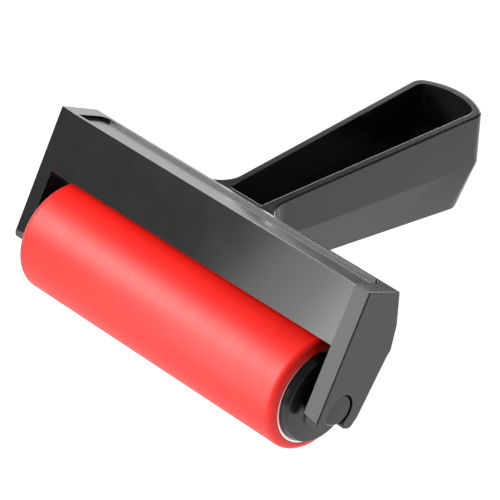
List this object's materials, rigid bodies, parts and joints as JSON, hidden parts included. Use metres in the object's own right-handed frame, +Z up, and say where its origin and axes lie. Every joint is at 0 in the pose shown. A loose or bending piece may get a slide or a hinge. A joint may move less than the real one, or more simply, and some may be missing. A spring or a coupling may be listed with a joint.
{
  "type": "rubber brayer",
  "caption": "Hand brayer for inking and pressing: a rubber-covered roller that spins on stub axles between the arms of a moulded yoke with a tapering trough handle.",
  "frame": {"origin": "middle of the tool on the surface it rests on", "axes": "+X along the roller's axis, +Y back from the roller to the end of the handle, +Z up; the tool rests on its roller and on the end of its handle"},
  "size_m": [0.1188, 0.123, 0.0487],
  "materials": {
    "frame_plastic": "satin black moulding",
    "roller_rubber": "smooth ground red rubber",
    "tube_aluminium": "bright drawn tube",
    "cap_plastic": "satin black moulding"
  },
  "bodies": {
    "frame": {"handle_frame": "frame_plastic"},
    "roller": {"rubber_sleeve": "roller_rubber", "core_tube": "tube_aluminium", "end_cap_left": "cap_plastic", "end_cap_right": "cap_plastic"}
  },
  "joints": [
    {"name": "roller_spin", "type": "hinge", "parent": "frame", "child": "roller", "pos_m": [0, -0.04528, 0.0162], "axis": [1, 0, 0], "continuous": true}
  ]
}
